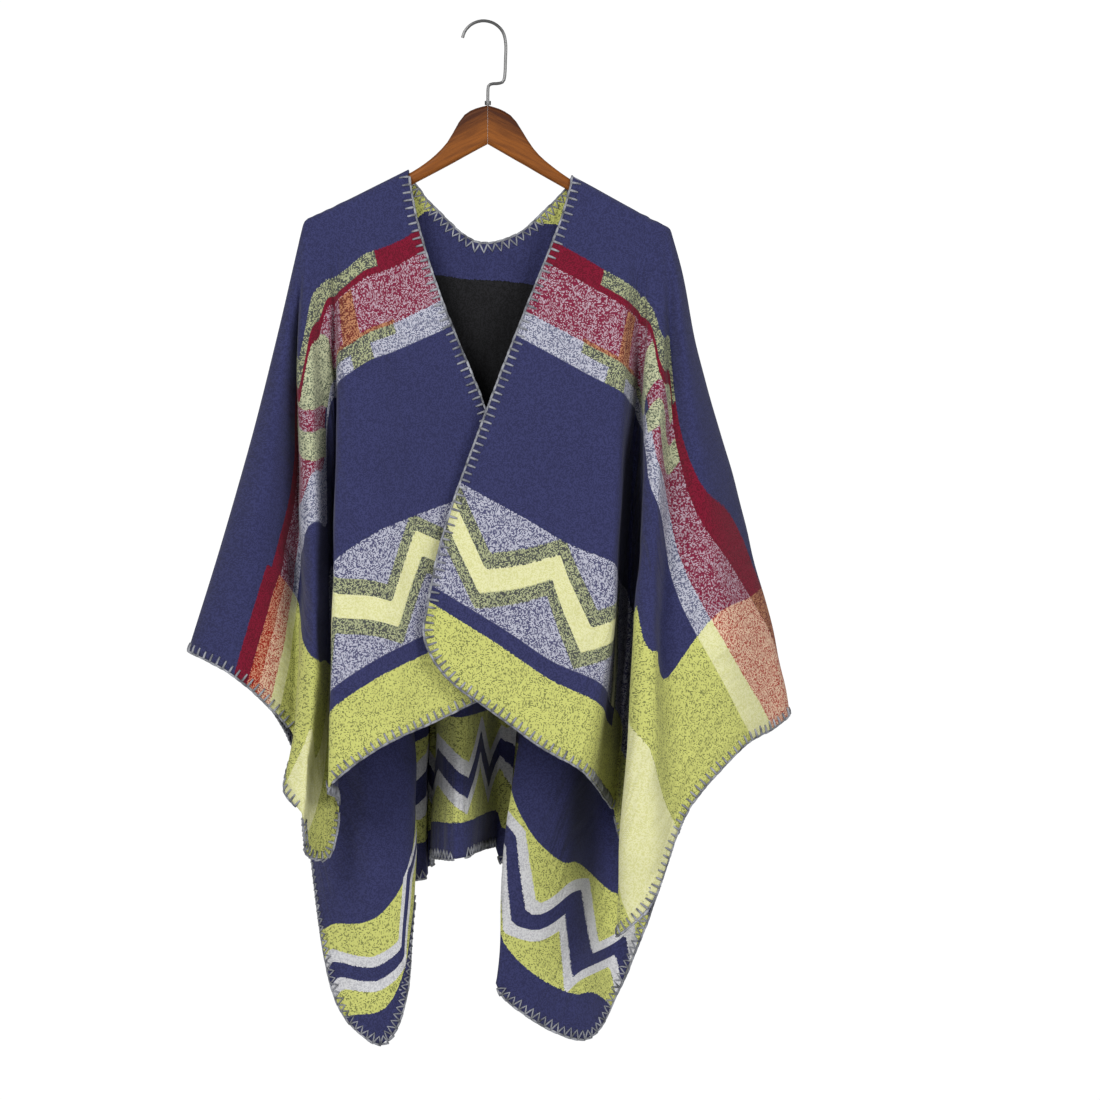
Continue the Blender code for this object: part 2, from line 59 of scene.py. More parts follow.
# fold; x, y and z of its start; x at the five places; y at the five; z of its lower end (cm, as
# sighted from the front)
FOLDS = (
    ("edge_r", 9.1, 0.0, -16.7, 7.8, 4.7, -0.3, -4.8, -7.4, -1.3, -1.9, -2.9, -3.5, -3.7, -68.6),
    ("chest_r1", 11.0, 0.0, -17.7, 10.4, 8.7, 5.6, 2.9, 0.6, -1.4, -2.1, -3.0, -3.6, -3.8, -74.1),
    ("chest_r2", 12.8, 0.0, -18.7, 12.5, 11.7, 9.9, 7.7, 5.7, -1.5, -2.3, -3.2, -3.8, -4.0, -77.8),
    ("crest_r", 14.6, 0.0, -19.7, 14.5, 14.3, 13.7, 13.2, 10.3, -1.5, -2.4, -3.2, -3.6, -3.4, -80.5),
    ("wall_r", 15.7, 0.0, -20.3, 15.7, 15.3, 14.3, 13.7, 12.1, -1.2, -1.2, 1.5, 3.8, 4.4, -82.9),
    ("valley_r", 16.4, 0.0, -20.7, 16.4, 16.1, 15.4, 14.8, 13.9, -1.0, 1.0, 7.2, 11.2, 12.2, -85.6),
    ("corner_r", 17.1, 0.0, -21.0, 17.0, 16.9, 16.7, 16.1, 15.3, -1.0, 0.1, 3.0, 4.6, 3.8, -96.0),
    ("fold2_r", 17.5, 0.0, -21.3, 17.4, 17.1, 16.1, 15.0, 13.9, -1.3, -2.0, -3.5, -4.5, -4.2, -98.1),
    ("crest2_r", 18.0, 0.0, -21.5, 18.6, 18.5, 18.0, 17.6, 17.6, -1.6, -3.0, -5.0, -6.3, -5.8, -94.7),
    ("crease_r", 18.3, 0.0, -21.7, 19.5, 19.6, 19.7, 19.5, 21.4, -1.1, -0.6, -1.0, -2.6, -3.0, -84.9),
    ("panel3_r", 18.4, 0.0, -21.8, 20.1, 21.1, 22.9, 24.8, 27.3, -1.2, -2.0, -2.5, -2.0, -0.5, -78.0),
    ("panel4_r", 18.6, 0.0, -21.9, 20.6, 22.0, 25.2, 28.2, 31.0, -0.6, -0.6, 0.0, 1.5, 3.2, -75.8),
    ("ridge_r", 18.9, 0.0, -22.05, 20.9, 22.4, 26.0, 29.5, 32.5, 0.5, 1.5, 3.0, 5.0, 6.0, -74.4),
    ("back_r1", 18.6, 0.0, -21.9, 20.0, 21.5, 24.0, 26.0, 27.3, 1.4, 4.4, 9.8, 14.6, 17.0, -77.0),
    ("back_r2", 18.5, 0.0, -21.8, 19.5, 20.4, 21.9, 22.8, 22.5, 1.7, 4.3, 7.2, 9.0, 9.0, -82.0),
    ("back_r3", 18.3, 0.0, -21.7, 18.6, 18.9, 19.6, 19.9, 20.0, 2.0, 6.4, 13.0, 18.0, 20.0, -88.5),
    ("back_r4", 17.8, 0.0, -21.4, 17.6, 17.5, 16.9, 16.1, 17.4, 2.0, 5.8, 10.6, 14.0, 12.0, -95.8),
    ("hollow_r", 17.1, 0.0, -21.0, 16.9, 16.3, 14.7, 12.5, 14.4, 1.9, 6.0, 12.0, 16.5, 13.5, -103.2),
    ("drop_r1", 16.0, 0.0, -20.4, 15.5, 14.4, 11.8, 9.0, 10.8, 1.5, 3.5, 7.0, 9.8, 10.3, -109.2),
    ("drop_r2", 14.2, 0.0, -19.4, 13.4, 12.0, 9.2, 6.3, 5.1, 1.5, 3.2, 6.5, 8.8, 8.8, -107.3),
    ("drop_r3", 12.0, 0.0, -18.2, 11.3, 9.7, 6.3, 2.7, 0.9, 1.5, 3.5, 7.0, 9.6, 9.6, -102.8),
    ("tuck_r", 10.5, 0.0, -17.4, 10.5, 10.7, 10.4, 9.6, 10.0, 2.0, 4.6, 8.8, 12.2, 13.0, -98.6),
    ("neck_r", 9.1, 0.0, -16.7, 8.9, 8.2, 6.2, 3.9, 2.5, 1.6, 4.8, 10.5, 15.0, 15.5, -94.4),
    ("neck_r1", 9.1, 0.62, -16.9, 8.75, 8.0, 6.0, 3.7, 2.4, 1.7, 4.9, 10.7, 15.2, 15.8, -93.8),
    ("neck_r2", 9.0, 1.15, -17.5, 8.5, 7.7, 5.7, 3.4, 2.2, 1.8, 5.0, 10.9, 15.5, 16.1, -93.0),
    ("tuck_r2", 8.55, 1.35, -18.0, 8.3, 7.6, 8.4, 9.0, 9.2, 2.2, 6.2, 12.4, 16.9, 17.6, -91.8),
    ("neck_r3", 7.9, 1.5, -18.7, 7.4, 6.6, 4.6, 2.5, 1.6, 2.3, 6.2, 13.4, 18.2, 19.4, -90.5),
    ("hollow_b", 6.7, 2.0, -20.0, 6.2, 5.4, 3.4, 1.6, 0.9, 2.6, 6.0, 13.0, 18.4, 20.0, -88.5),
    ("centre_r", 3.0, 2.4, -23.1, 2.5, 1.7, 0.4, -0.7, -1.2, 2.9, 5.0, 8.2, 11.2, 12.0, -89.2),
    ("centre", -0.9, 2.5, -23.9, -1.2, -1.7, -2.4, -2.8, -3.4, 3.0, 4.6, 6.8, 8.2, 8.6, -90.0),
    ("centre_l", -6.0, 2.1, -19.9, -5.9, -5.7, -5.4, -5.1, -5.9, 2.6, 5.4, 9.6, 13.6, 14.2, -89.8),
    ("neck_l3", -7.5, 1.5, -18.0, -7.2, -6.9, -6.4, -6.0, -6.1, 2.4, 6.4, 13.6, 18.8, 20.2, -90.8),
    ("tuck_l2", -8.1, 1.35, -17.4, -8.0, -7.45, -9.6, -12.0, -13.2, 2.25, 6.0, 12.5, 17.4, 18.6, -91.2),
    ("neck_l2", -8.45, 1.2, -17.0, -8.1, -7.5, -6.7, -6.3, -6.4, 2.0, 5.2, 11.1, 16.0, 17.2, -91.6),
    ("neck_l1", -8.5, 0.7, -16.2, -8.2, -7.6, -6.8, -6.4, -6.5, 1.9, 5.0, 10.7, 15.6, 16.8, -91.8),
    ("neck_l", -8.5, 0.0, -15.95, -8.3, -7.7, -6.9, -6.6, -6.8, 1.8, 4.8, 10.3, 15.2, 16.4, -92.0),
    ("tuck_l", -9.8, 0.0, -16.6, -9.5, -9.9, -11.4, -13.2, -14.2, 1.75, 4.4, 9.3, 13.6, 14.6, -93.2),
    ("wall_l", -11.1, 0.0, -17.3, -10.5, -9.7, -8.6, -8.1, -8.0, 1.6, 3.9, 8.2, 11.8, 12.4, -94.9),
    ("drop_l1", -13.2, 0.0, -18.4, -12.6, -11.5, -10.0, -8.9, -8.5, 1.5, 3.5, 7.0, 9.6, 9.8, -103.5),
    ("drop_l2", -15.3, 0.0, -19.4, -14.8, -14.1, -13.1, -12.5, -11.3, 1.5, 3.4, 7.0, 9.2, 9.2, -109.8),
    ("drop_l3", -16.6, 0.0, -20.0, -16.3, -15.8, -15.0, -14.6, -15.4, 1.6, 4.0, 8.0, 10.4, 10.4, -106.7),
    ("drop_l4", -17.3, 0.0, -20.4, -17.7, -17.6, -17.2, -16.9, -17.6, 1.8, 5.0, 9.6, 12.2, 12.0, -99.8),
    ("back_l3", -18.0, 0.0, -20.7, -19.1, -19.9, -20.5, -20.8, -20.4, 2.0, 6.5, 13.0, 17.5, 18.5, -79.9),
    ("back_l2", -18.4, 0.0, -20.9, -19.9, -21.0, -22.4, -23.6, -24.7, 1.7, 4.4, 7.4, 8.8, 8.6, -71.8),
    ("back_l1", -18.8, 0.0, -21.1, -20.4, -21.8, -24.1, -26.2, -28.4, 1.4, 4.5, 9.6, 14.2, 16.8, -68.6),
    ("ridge_l", -19.0, 0.0, -21.3, -20.7, -22.3, -25.2, -28.5, -32.1, 0.5, 1.6, 3.4, 5.0, 6.0, -67.6),
    ("panel4_l", -18.9, 0.0, -21.2, -20.5, -21.6, -23.5, -25.6, -27.9, -0.2, 0.2, 0.8, 2.0, 3.2, -69.8),
    ("panel3_l", -18.8, 0.0, -21.1, -20.2, -21.1, -21.8, -22.7, -24.3, -0.6, 0.6, 2.2, 3.4, 4.2, -72.7),
    ("crease_l", -18.5, 0.0, -21.0, -19.9, -20.4, -20.2, -20.2, -20.6, -0.9, 2.0, 5.5, 7.0, 6.0, -77.4),
    ("fold2_l", -18.2, 0.0, -20.8, -19.5, -20.2, -19.7, -19.6, -21.8, -1.15, -0.3, 1.0, 1.5, 1.0, -82.6),
    ("crest2_l", -17.7, 0.0, -20.6, -18.9, -19.1, -18.7, -18.5, -19.8, -1.2, -1.2, -0.4, -0.2, -0.6, -85.6),
    ("corner_l", -17.2, 0.0, -20.3, -17.8, -18.0, -17.6, -17.8, -19.6, -1.0, 0.2, 2.2, 3.6, 3.4, -89.3),
    ("back2_l", -16.7, 0.0, -20.1, -17.1, -17.0, -16.9, -16.9, -17.2, -1.0, 0.8, 4.2, 5.8, 5.6, -89.9),
    ("valley_l", -16.0, 0.0, -19.7, -16.4, -16.4, -16.4, -16.2, -15.9, -0.9, 1.2, 5.0, 6.2, 6.0, -84.2),
    ("turn_l", -14.9, 0.0, -19.2, -15.2, -15.5, -16.4, -16.7, -17.0, -1.3, -1.8, -2.6, -3.0, -2.7, -82.3),
    ("chest_l3", -13.3, 0.0, -18.4, -13.3, -13.1, -12.5, -12.0, -11.8, -1.5, -2.3, -3.1, -3.4, -3.2, -78.0),
    ("chest_l2", -11.7, 0.0, -17.6, -11.4, -10.5, -8.6, -6.9, -5.5, -1.4, -1.9, -2.2, -2.2, -2.0, -75.0),
    ("chest_l1", -10.1, 0.0, -16.8, -9.5, -7.8, -4.1, -1.1, 1.3, -1.2, -1.5, -1.6, -1.5, -1.3, -71.8),
    ("edge_l", -8.5, 0.0, -16.0, -7.7, -5.2, 0.1, 3.7, 6.2, -1.1, -1.3, -1.3, -1.2, -1.0, -69.9),
)

# where each fold's lower end lies on the flat cut: cm across from the middle, cm from the shoulder
# line (front plus, back minus)
CUT_END = {
    "edge_r": (9.8, 55), "chest_r1": (17, 55), "chest_r2": (23.5, 55), "crest_r": (30, 55),
    "wall_r": (36.5, 55), "valley_r": (50, 55), "corner_r": (75, 55), "fold2_r": (75, 49.5),
    "crest2_r": (75, 43), "crease_r": (75, 32.5), "panel3_r": (75, 20), "panel4_r": (75, 15),
    "ridge_r": (75, 10.5), "back_r1": (75, -8), "back_r2": (75, -24), "back_r3": (75, -41),
    "back_r4": (75, -60), "hollow_r": (75, -68), "drop_r1": (75, -75), "drop_r2": (68, -75),
    "drop_r3": (62, -75), "tuck_r": (51, -75), "neck_r": (42, -75), "neck_r1": (41, -75),
    "neck_r2": (40, -75), "tuck_r2": (30, -75), "neck_r3": (20, -75), "hollow_b": (18, -75),
    "centre_r": (8, -75), "centre": (0, -75), "centre_l": (-10, -75), "neck_l3": (-18, -75),
    "tuck_l2": (-27, -75), "neck_l2": (-38, -75), "neck_l1": (-39, -75), "neck_l": (-40, -75),
    "tuck_l": (-50, -75), "wall_l": (-60, -75), "drop_l1": (-67, -75), "drop_l2": (-75, -75),
    "drop_l3": (-75, -71), "drop_l4": (-75, -62), "back_l3": (-75, -45), "back_l2": (-75, -30),
    "back_l1": (-75, -15), "ridge_l": (-75, 1), "panel4_l": (-75, 5.5), "panel3_l": (-75, 13),
    "crease_l": (-75, 26), "fold2_l": (-75, 34.9), "crest2_l": (-75, 43), "corner_l": (-75, 55),
    "back2_l": (-65, 55), "valley_l": (-45, 55), "turn_l": (-36.5, 55), "chest_l3": (-30, 55),
    "chest_l2": (-22.5, 55), "chest_l1": (-15, 55), "edge_l": (-9.8, 55),
}
# where the folds behind the neck start on the flat cut, along the scooped neck edge
CUT_NECK = {
    "neck_r1": (9.75, -0.8), "neck_r2": (9.5, -1.8), "tuck_r2": (9.1, -2.4), "neck_r3": (8.3, -3.3),
    "hollow_b": (6.8, -5.0), "centre_r": (3.0, -8.7), "centre": (-0.7, -9.8),
    "centre_l": (-5.4, -6.4), "neck_l3": (-8.0, -3.6), "tuck_l2": (-8.9, -2.6),
    "neck_l2": (-9.4, -1.9), "neck_l1": (-9.75, -0.8),
}
# folds whose threads don't lie evenly down the fold: cm across the cut at the five places
CUT_ACROSS = {
    "fold2_r": (25.6, 38.7, 59.6, 62.8, 75), "crest2_r": (26.9, 40.2, 54.3, 66.4, 75),
    "crease_r": (25.7, 33.9, 47.4, 60, 75),
    "crest2_l": (-26.5, -34.7, -48.3, -61.6, -75), "corner_l": (-27.1, -35.7, -50, -63.5, -75),
    "back2_l": (-27, -34.9, -49.3, -61.9, -65), "valley_l": (-22.6, -26.7, -33.5, -39.8, -45),
    "turn_l": (-19.6, -22.5, -27.3, -32, -36.5),
}
# the same for cm from the shoulder line
CUT_LENGTH = {
    "corner_r": (6.4, 14.8, 28, 41.5, 55), "fold2_r": (6.2, 15.7, 24.1, 37.5, 49.5),
    "crest2_r": (4.9, 10.6, 22.3, 33.6, 43), "crease_r": (4.3, 8.5, 15.1, 23.9, 32.5),
    "panel3_r": (0.4, 2.2, 7.4, 14.2, 20), "panel4_r": (0.3, 2.5, 6.0, 9.9, 15),
    "ridge_r": (0.4, 1.9, 4.5, 6.6, 10.5), "panel3_l": (0.7, 2.4, 4.1, 9.0, 13),
    "crease_l": (3.3, 8.0, 13.0, 20.0, 26), "fold2_l": (3.0, 7.3, 15.4, 24.7, 34.9),
    "crest2_l": (5.7, 10.4, 17.7, 29.4, 43), "corner_l": (6.7, 11.4, 18.6, 26, 50),
    "back2_l": (6.8, 15.5, 31.2, 47.2, 55), "valley_l": (6.2, 14.0, 28.3, 42.1, 55),
    "turn_l": (6.2, 15.0, 28.5, 41.9, 55), "chest_l3": (6.6, 15.0, 28.9, 41.8, 55),
    "chest_l2": (6.3, 14.7, 28.5, 41.9, 55), "chest_l1": (6.1, 14.6, 28.1, 41.6, 55),
    "edge_l": (6.3, 14.8, 28.3, 41.6, 55), "drop_r1": (-7.5, -19, -38, -57.2, -75),
    "drop_r2": (-7.5, -19, -38, -57.1, -75), "drop_r3": (-7.5, -19, -39.5, -59.8, -75),
    "tuck_r": (-7.5, -19, -39, -59, -75), "neck_r": (-7.5, -18.9, -38, -57.4, -75),
    "tuck_l": (-7.5, -18.5, -36, -53, -75), "wall_l": (-7.4, -18, -35.2, -51, -75),
    "drop_l1": (-7.4, -17.8, -34.8, -50.2, -75), "drop_l2": (-7.4, -17.8, -34.8, -50.8, -75),
    "drop_l3": (-7.0, -16.8, -32.4, -47.5, -71), "drop_l4": (-6.2, -15.2, -30, -44.8, -62),
}


def placed(x, y, z):
    """Centimetres sighted from the front to metres from the hanging point."""
    far = (np.asarray(y, float) + EYE) / EYE
    true_x = SIGHT[0] + (np.asarray(x, float) - SIGHT[0]) * far
    true_z = SIGHT[1] + (np.asarray(z, float) - SIGHT[1]) * far
    same_y = np.broadcast_to(y, true_x.shape)
    found = np.stack([true_x - HANG_POINT[0], same_y, true_z - HANG_POINT[1]])
    return np.moveaxis(found, 0, -1) * CM


def weights(knots, at):
    """Matrix that blends values at the knots into a smooth curve's values at each place."""
    knots = np.asarray(knots, float)
    at = np.clip(np.asarray(at, float), knots[0], knots[-1])
    i = np.clip(np.searchsorted(knots, at, side="right") - 1, 0, len(knots) - 2)
    step = knots[i + 1] - knots[i]
    t = (at - knots[i]) / step
    out = np.zeros((len(at), len(knots)))
    rows = np.arange(len(at))
    out[rows, i] += 2 * t**3 - 3 * t**2 + 1
    out[rows, i + 1] += 3 * t**2 - 2 * t**3
    for place, share in ((i, t**3 - 2 * t**2 + t), (i + 1, t**3 - t**2)):
        lower = np.maximum(place - 1, 0)
        upper = np.minimum(place + 1, len(knots) - 1)
        slope = share * step / (knots[upper] - knots[lower])
        np.add.at(out, (rows, upper), slope)
        np.add.at(out, (rows, lower), -slope)
    return out


ALONG = np.array(TURN + DOWN)
SLIT = 9.8  # cm on the flat cut from the middle to a front edge
TIP_START, TIP_LENGTH = 16, 2  # cm out, where the turn swings round the arm's tip
NECK_SHARE, NECK_DEPTH = 0.12, 2  # a neck fold's share before its first place, and cm of y for all


def cut_points(row):
    """Places on the flat cut, in metres, of a fold's nine points."""
    name, x0, y0, z0 = row[:4]
    if name in CUT_NECK:
        start = CUT_NECK[name]
    elif x0 > 0:
        start = (SLIT + math.hypot(x0 - FOLDS[0][1], z0 - FOLDS[0][3]), 0)
    else:
        start = (-SLIT - math.hypot(x0 - FOLDS[-1][1], z0 - FOLDS[-1][3]), 0)
    start, end = np.array(start, float), np.array(CUT_END[name], float)
    found = start + ALONG[:, None] * (end - start)
    if name in CUT_ACROSS:
        found[len(TURN):, 0] = CUT_ACROSS[name]
    if name in CUT_LENGTH:
        found[len(TURN):, 1] = CUT_LENGTH[name]
    return found * CM


def fold_points(row):
    """Nine points down a fold: four of its turn over the arm or start at the neck, then five."""
    x0, y0, z0 = row[1:4]
    z = z0 + np.array(DOWN) * (row[14] - z0)
    start = placed(x0, y0, z0)
    below = placed(np.array(row[4:9]), np.array(row[9:14]), z)
    outward = min(max((abs(x0) - TIP_START) / TIP_LENGTH, 0), 1)
    away = (below[0] - start) * (outward, 1, 0)
    away /= np.linalg.norm(away)
    if y0 == 0:
        turn = [
            start + WRAP * (math.sin(a) * away - (1 - math.cos(a)) * np.array((0, 0, 1)))
            for a in (-math.pi / 4, 0, math.pi / 4, math.pi / 2)
        ]
    else:
        share = NECK_SHARE * min(1, y0 / NECK_DEPTH)
        turn = [start + f * share * (below[0] - start) for f in (-1, 0, 1, 2)]
    return np.vstack([turn, below])


FOLD_NAMES = [row[0] for row in FOLDS]
CLOTH_POINTS = np.array([np.hstack([fold_points(row), cut_points(row)]) for row in FOLDS])
GAPS = np.linalg.norm(np.diff(CLOTH_POINTS[:, len(TURN):, :3], axis=0), axis=2).mean(axis=1)
ACROSS = np.concatenate([[0], np.cumsum(GAPS)])


def cloth_point(s, t):
    """The cloth's middle surface (x, y, z) and its place on the flat cut (two more values)."""
    folds = np.einsum("mj,kjc->mkc", weights(ALONG, t), CLOTH_POINTS)
    step = np.diff(ACROSS)[None, :, None]
    slopes = np.diff(folds, axis=1) / step
    left, right = slopes[:, :-1], slopes[:, 1:]
    inner = (left * step[:, :-1] + right * step[:, 1:]) / (step[:, :-1] + step[:, 1:])
    # steeper tangents would let the cloth swing out past its rows
    most = np.minimum(abs(left), abs(right)) * np.where(left * right > 0, 3, 1)
    tangents = np.concatenate([slopes[:, :1], np.clip(inner, -most, most), slopes[:, -1:]], axis=1)
    i = np.clip(np.searchsorted(ACROSS, s, side="right") - 1, 0, len(ACROSS) - 2)
    rows = np.arange(len(s))
    h = (ACROSS[i + 1] - ACROSS[i])[:, None]
    u = (s - ACROSS[i])[:, None] / h
    return (
        (2 * u**3 - 3 * u**2 + 1) * folds[rows, i]
        + (3 * u**2 - 2 * u**3) * folds[rows, i + 1]
        + (u**3 - 2 * u**2 + u) * h * tangents[rows, i]
        + (u**3 - u**2) * h * tangents[rows, i + 1]
    )


CORNER = 4 * CM  # radius of the fronts' lower corners
FRONT_LENGTH = 0.54  # down a front's edge


def rounded(s, t, edge, inward):
    """Moves the places near a front's lower corner so that it is rounded."""
    ds = np.clip(1 - (s - edge) * inward / CORNER, 0, 1)
    dt = np.clip(1 - (1 - t) * FRONT_LENGTH / CORNER, 0, 1)
    size = np.hypot(ds, dt)
    shrink = np.where(size > 0, np.maximum(ds, dt) / np.maximum(size, 1e-9), 1)
    near = (ds > 0) & (dt > 0)
    s = np.where(near, edge + inward * (1 - ds * shrink) * CORNER, s)
    t = np.where(near, 1 - (1 - dt * shrink) * CORNER / FRONT_LENGTH, t)
    return s, t


def fold_place(name):
    """How far round the cloth a fold lies."""
    return ACROSS[FOLD_NAMES.index(name)]


def shoulder_columns(front_name, back_name, ridge_name, count, tries=600, fine_tries=4000):
    """Columns of a front and of the back behind it that start at the same places on the arm."""
    ridge = fold_place(ridge_name)
    front = np.linspace(fold_place(front_name), ridge, tries)
    back = np.linspace(fold_place(back_name), ridge, tries)
    front_at = np.maximum.accumulate(abs(cloth_point(front, np.zeros(tries))[:, 3]))
    back_at = np.maximum.accumulate(abs(cloth_point(back, np.zeros(tries))[:, 3]))
    arm = np.linspace(front_at[0], front_at[-1], fine_tries)
    share = np.linspace(0, 1, tries)
    mixed = 0.5 * np.interp(arm, front_at, share) + 0.5 * np.interp(arm, back_at, share)
    at = np.interp(np.linspace(0, 1, count + 1), mixed, arm)
    return np.interp(at, front_at, front), np.interp(at, back_at, back)


WAVES, WAVES_HEIGHT = 14, 3.7  # waves that make the creases, and the height they reach together


def soft_noise(u, v, size, seed, stretch):
    """Smooth uneven values about 0, made of waves of about one size, the same every time."""
    rng = np.random.default_rng(seed)
    total = np.zeros(len(u))
    for _ in range(WAVES):
        angle, phase = rng.uniform(0, math.pi), rng.uniform(0, 6.28)
        length = size * rng.uniform(0.7, 1.5)
        way = u * math.cos(angle) + v * math.sin(angle) / stretch
        total += np.sin(6.283 * way / length + phase)
    return total / WAVES_HEIGHT


SIDE, NECK, ROWS = 68, 34, 158  # columns along an arm, behind the neck, and rows down the cloth
FIRST_ROWS = (0, 0.004, 0.009, 0.014, 0.020, 0.027)  # close together, over the turn
right_front, right_back = shoulder_columns("edge_r", "neck_r", "ridge_r", SIDE)
left_front, left_back = shoulder_columns("edge_l", "neck_l", "ridge_l", SIDE)
neck_columns = np.linspace(fold_place("neck_r"), fold_place("neck_l"), NECK + 1)[1:-1]
columns = np.concatenate([
    right_front, right_back[-2::-1], neck_columns, left_back, left_front[-2::-1],
])
COLUMNS = len(columns)
down = np.concatenate([FIRST_ROWS, np.linspace(0.035, 1, ROWS - len(FIRST_ROWS))])
place_s, place_t = (x.ravel() for x in np.meshgrid(columns, down, indexing="ij"))
place_s, place_t = rounded(place_s, place_t, ACROSS[0], 1)
place_s, place_t = rounded(place_s, place_t, ACROSS[-1], -1)
cloth = cloth_point(place_s, place_t).reshape(COLUMNS, ROWS, 5)

# the back hangs from the very line that the fronts turn over, so both share their top points
shared = {}
EASED = 0.05  # share of a back fold's length that is drawn to the front's top point
ease = np.clip(1 - down / EASED, 0, 1) ** 2
for k in range(SIDE + 1):
    for front_k, back_k in ((k, 2 * SIDE - k), (COLUMNS - 1 - k, COLUMNS - 1 - 2 * SIDE + k)):
        if front_k != back_k:
            shared[back_k * ROWS] = front_k * ROWS
            cloth[back_k] += ease[:, None] * (cloth[front_k, 0] - cloth[back_k, 0])
point_of = np.array([shared.get(k, k) for k in range(COLUMNS * ROWS)]).reshape(COLUMNS, ROWS)
cloth_faces = [
    (point_of[i, j], point_of[i, j + 1], point_of[i + 1, j + 1], point_of[i + 1, j])
    for i in range(COLUMNS - 1)
    for j in range(ROWS - 1)
]
kept = np.unique(point_of)
number = {int(k): n for n, k in enumerate(kept)}
cloth_faces = [[number[int(k)] for k in face] for face in cloth_faces]
cloth_xyz = cloth.reshape(-1, 5)[kept, :3]
cloth_cut = cloth.reshape(-1, 5)[kept, 3:]


def mesh_piece(name, points, faces, smooth=True):
    """A new piece of the scene from its points and faces."""
    mesh = bpy.data.meshes.new(name)
    mesh.from_pydata([tuple(p) for p in points], [], faces)
    mesh.update()
    if smooth:
        mesh.shade_smooth()
    piece = bpy.data.objects.new(name, mesh)
    bpy.context.scene.collection.objects.link(piece)
    return piece


CREASE = 0.0016  # how far the small uneven creases stand out
CREASE_START, CREASE_FULL = 0.02, 0.10  # from the shoulder line, where they begin and are full
ruana = mesh_piece("ruana_cloth", cloth_xyz, cloth_faces)
normals = np.zeros(len(cloth_xyz) * 3, np.float32)
ruana.data.vertices.foreach_get("normal", normals)
normals = normals.reshape(-1, 3)
cut_u, cut_v = cloth_cut.T
hanging = np.clip((abs(cut_v) - CREASE_START) / (CREASE_FULL - CREASE_START), 0, 1)
creases = soft_noise(cut_u, cut_v, size=0.13, seed=3, stretch=3.0)
creases += 0.5 * soft_noise(cut_u, cut_v, size=0.06, seed=8, stretch=2.0)
cloth_xyz = cloth_xyz + normals * (CREASE * hanging * creases)[:, None]
ruana.data.vertices.foreach_set("co", cloth_xyz.astype(np.float32).ravel())
cut_map = ruana.data.uv_layers.new(name="cut")
corner_points = np.zeros(len(ruana.data.loops), np.int32)
ruana.data.loops.foreach_get("vertex_index", corner_points)
cut_uv = (cloth_cut / PANEL + 0.5)[corner_points]
cut_map.data.foreach_set("uv", cut_uv.astype(np.float32).ravel())


def tint(code, returned):
    """A colour as Blender wants it, from its six-figure code as lit and its share of the light."""
    parts = [int(code[k:k + 2], 16) / 255 for k in (0, 2, 4)]
    plain = [p / 12.92 if p <= 0.04045 else ((p + 0.055) / 1.055) ** 2.4 for p in parts]
    return tuple(returned * p for p in plain) + (1,)


def new_material(name, roughness, specular=0.5, colour=(0.8, 0.8, 0.8, 1)):
    """A material with its tree and its shader, whose plain values are set."""
    made = bpy.data.materials.new(name)
    made.use_nodes = True
    shader = made.node_tree.nodes["Principled BSDF"]
    shader.inputs["Roughness"].default_value = roughness
    shader.inputs["Specular IOR Level"].default_value = specular
    shader.inputs["Base Color"].default_value = colour
    return made, made.node_tree, shader


def joined(tree, value, socket):
    """Links a socket to another one, or sets its value."""
    if isinstance(value, bpy.types.NodeSocket):
        tree.links.new(value, socket)
    else:
        socket.default_value = value


def calc(tree, operation, *values):
    """One sum in a node tree."""
    step = tree.nodes.new("ShaderNodeMath")
    step.operation = operation
    for value, socket in zip(values, step.inputs):
        joined(tree, value, socket)
    return step.outputs[0]


def vector_calc(tree, operation, *values):
    """One sum with places or directions."""
    step = tree.nodes.new("ShaderNodeVectorMath")
    step.operation = operation
    for value, socket in zip(values, step.inputs):
        joined(tree, value, socket)
    return step.outputs[0]


def apart(tree, place):
    """The three values of a place."""
    step = tree.nodes.new("ShaderNodeSeparateXYZ")
    tree.links.new(place, step.inputs[0])
    return step.outputs


def together(tree, *values):
    """A place from two or three values."""
    step = tree.nodes.new("ShaderNodeCombineXYZ")
    for value, socket in zip(values, step.inputs):
        joined(tree, value, socket)
    return step.outputs[0]


def blended(tree, share, first, second, way="MIX"):
    """A colour between two, by share."""
    step = tree.nodes.new("ShaderNodeMix")
    step.data_type, step.blend_type = "RGBA", way
    for value, k in ((share, 0), (first, 6), (second, 7)):
        joined(tree, value, step.inputs[k])
    return step.outputs[2]


def bump(tree, height, strength, distance, normal=None):
    """The turn that a height gives the surface, on top of another one's."""
    step = tree.nodes.new("ShaderNodeBump")
    step.inputs["Strength"].default_value = strength
    step.inputs["Distance"].default_value = distance
    tree.links.new(height, step.inputs["Height"])
    if normal is not None:
        tree.links.new(normal, step.inputs["Normal"])
    return step.outputs[0]


def noise(tree, where, scale, detail=2.0, roughness=0.5):
    """Cloudy values from 0 to 1."""
    step = tree.nodes.new("ShaderNodeTexNoise")
    step.inputs["Scale"].default_value = scale
    step.inputs["Detail"].default_value = detail
    step.inputs["Roughness"].default_value = roughness
    tree.links.new(where, step.inputs["Vector"])
    return step.outputs["Fac"]


